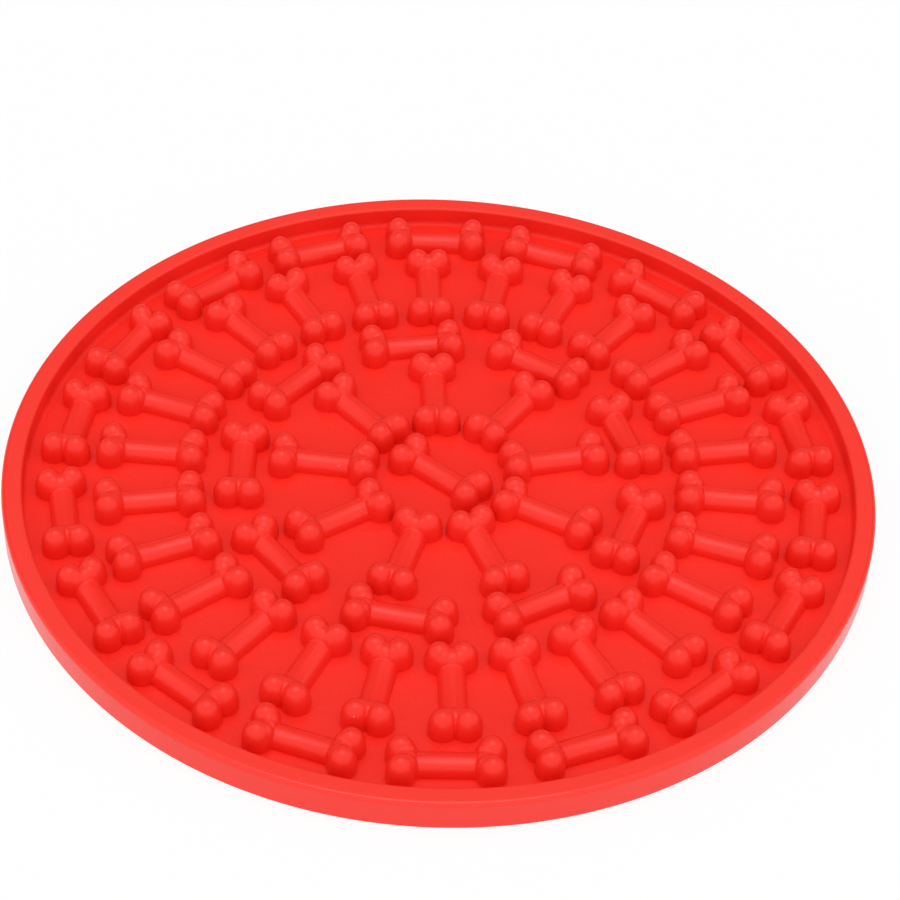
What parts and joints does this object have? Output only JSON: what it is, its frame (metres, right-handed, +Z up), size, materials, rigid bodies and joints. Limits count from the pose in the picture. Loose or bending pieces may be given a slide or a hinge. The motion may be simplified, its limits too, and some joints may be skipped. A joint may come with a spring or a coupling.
{
  "type": "lick mat",
  "caption": "Round silicone lick mat for pets: a shallow tray with a raised rim, and rings of bone-shaped studs that hold spread food.",
  "frame": {"origin": "middle of the flat underside", "axes": "+Z up, out of the tray; +Y to the back and +X to the right as the mat is pictured"},
  "size_m": [0.2, 0.2, 0.009],
  "materials": {
    "silicone": "satin"
  },
  "bodies": {
    "root": {"centre_bone": "silicone", "floor_disc": "silicone", "inner_bones": "silicone", "middle_bone_01": "silicone", "middle_bone_02": "silicone", "middle_bone_03": "silicone", "middle_bone_04": "silicone", "middle_bone_05": "silicone", "middle_bone_06": "silicone", "middle_bone_07": "silicone", "middle_bone_08": "silicone", "middle_bone_09": "silicone", "outer_bone_01": "silicone", "outer_bone_02": "silicone", "outer_bone_03": "silicone", "outer_bone_04": "silicone", "outer_bone_05": "silicone", "outer_bone_06": "silicone", "outer_bone_07": "silicone", "outer_bone_08": "silicone", "outer_bone_09": "silicone", "outer_bone_10": "silicone", "outer_bone_11": "silicone", "outer_bone_12": "silicone", "outer_bone_13": "silicone", "outer_bone_14": "silicone", "outer_bone_15": "silicone", "outer_bone_16": "silicone", "outer_bone_17": "silicone", "outer_bone_18": "silicone", "rim_ring": "silicone", "spoke_bone_01": "silicone", "spoke_bone_02": "silicone", "spoke_bone_03": "silicone", "spoke_bone_04": "silicone", "spoke_bone_05": "silicone", "spoke_bone_06": "silicone", "spoke_bone_07": "silicone", "spoke_bone_08": "silicone", "spoke_bone_09": "silicone", "spoke_bone_10": "silicone", "spoke_bone_11": "silicone", "spoke_bone_12": "silicone", "spoke_bone_13": "silicone", "spoke_bone_14": "silicone", "spoke_bone_15": "silicone", "spoke_bone_16": "silicone", "spoke_bone_17": "silicone", "spoke_bone_18": "silicone", "spoke_bone_19": "silicone", "spoke_bone_20": "silicone", "spoke_bone_21": "silicone", "spoke_bone_22": "silicone", "spoke_bone_23": "silicone", "spoke_bone_24": "silicone", "spoke_bone_25": "silicone", "spoke_bone_26": "silicone"}
  },
  "joints": []
}
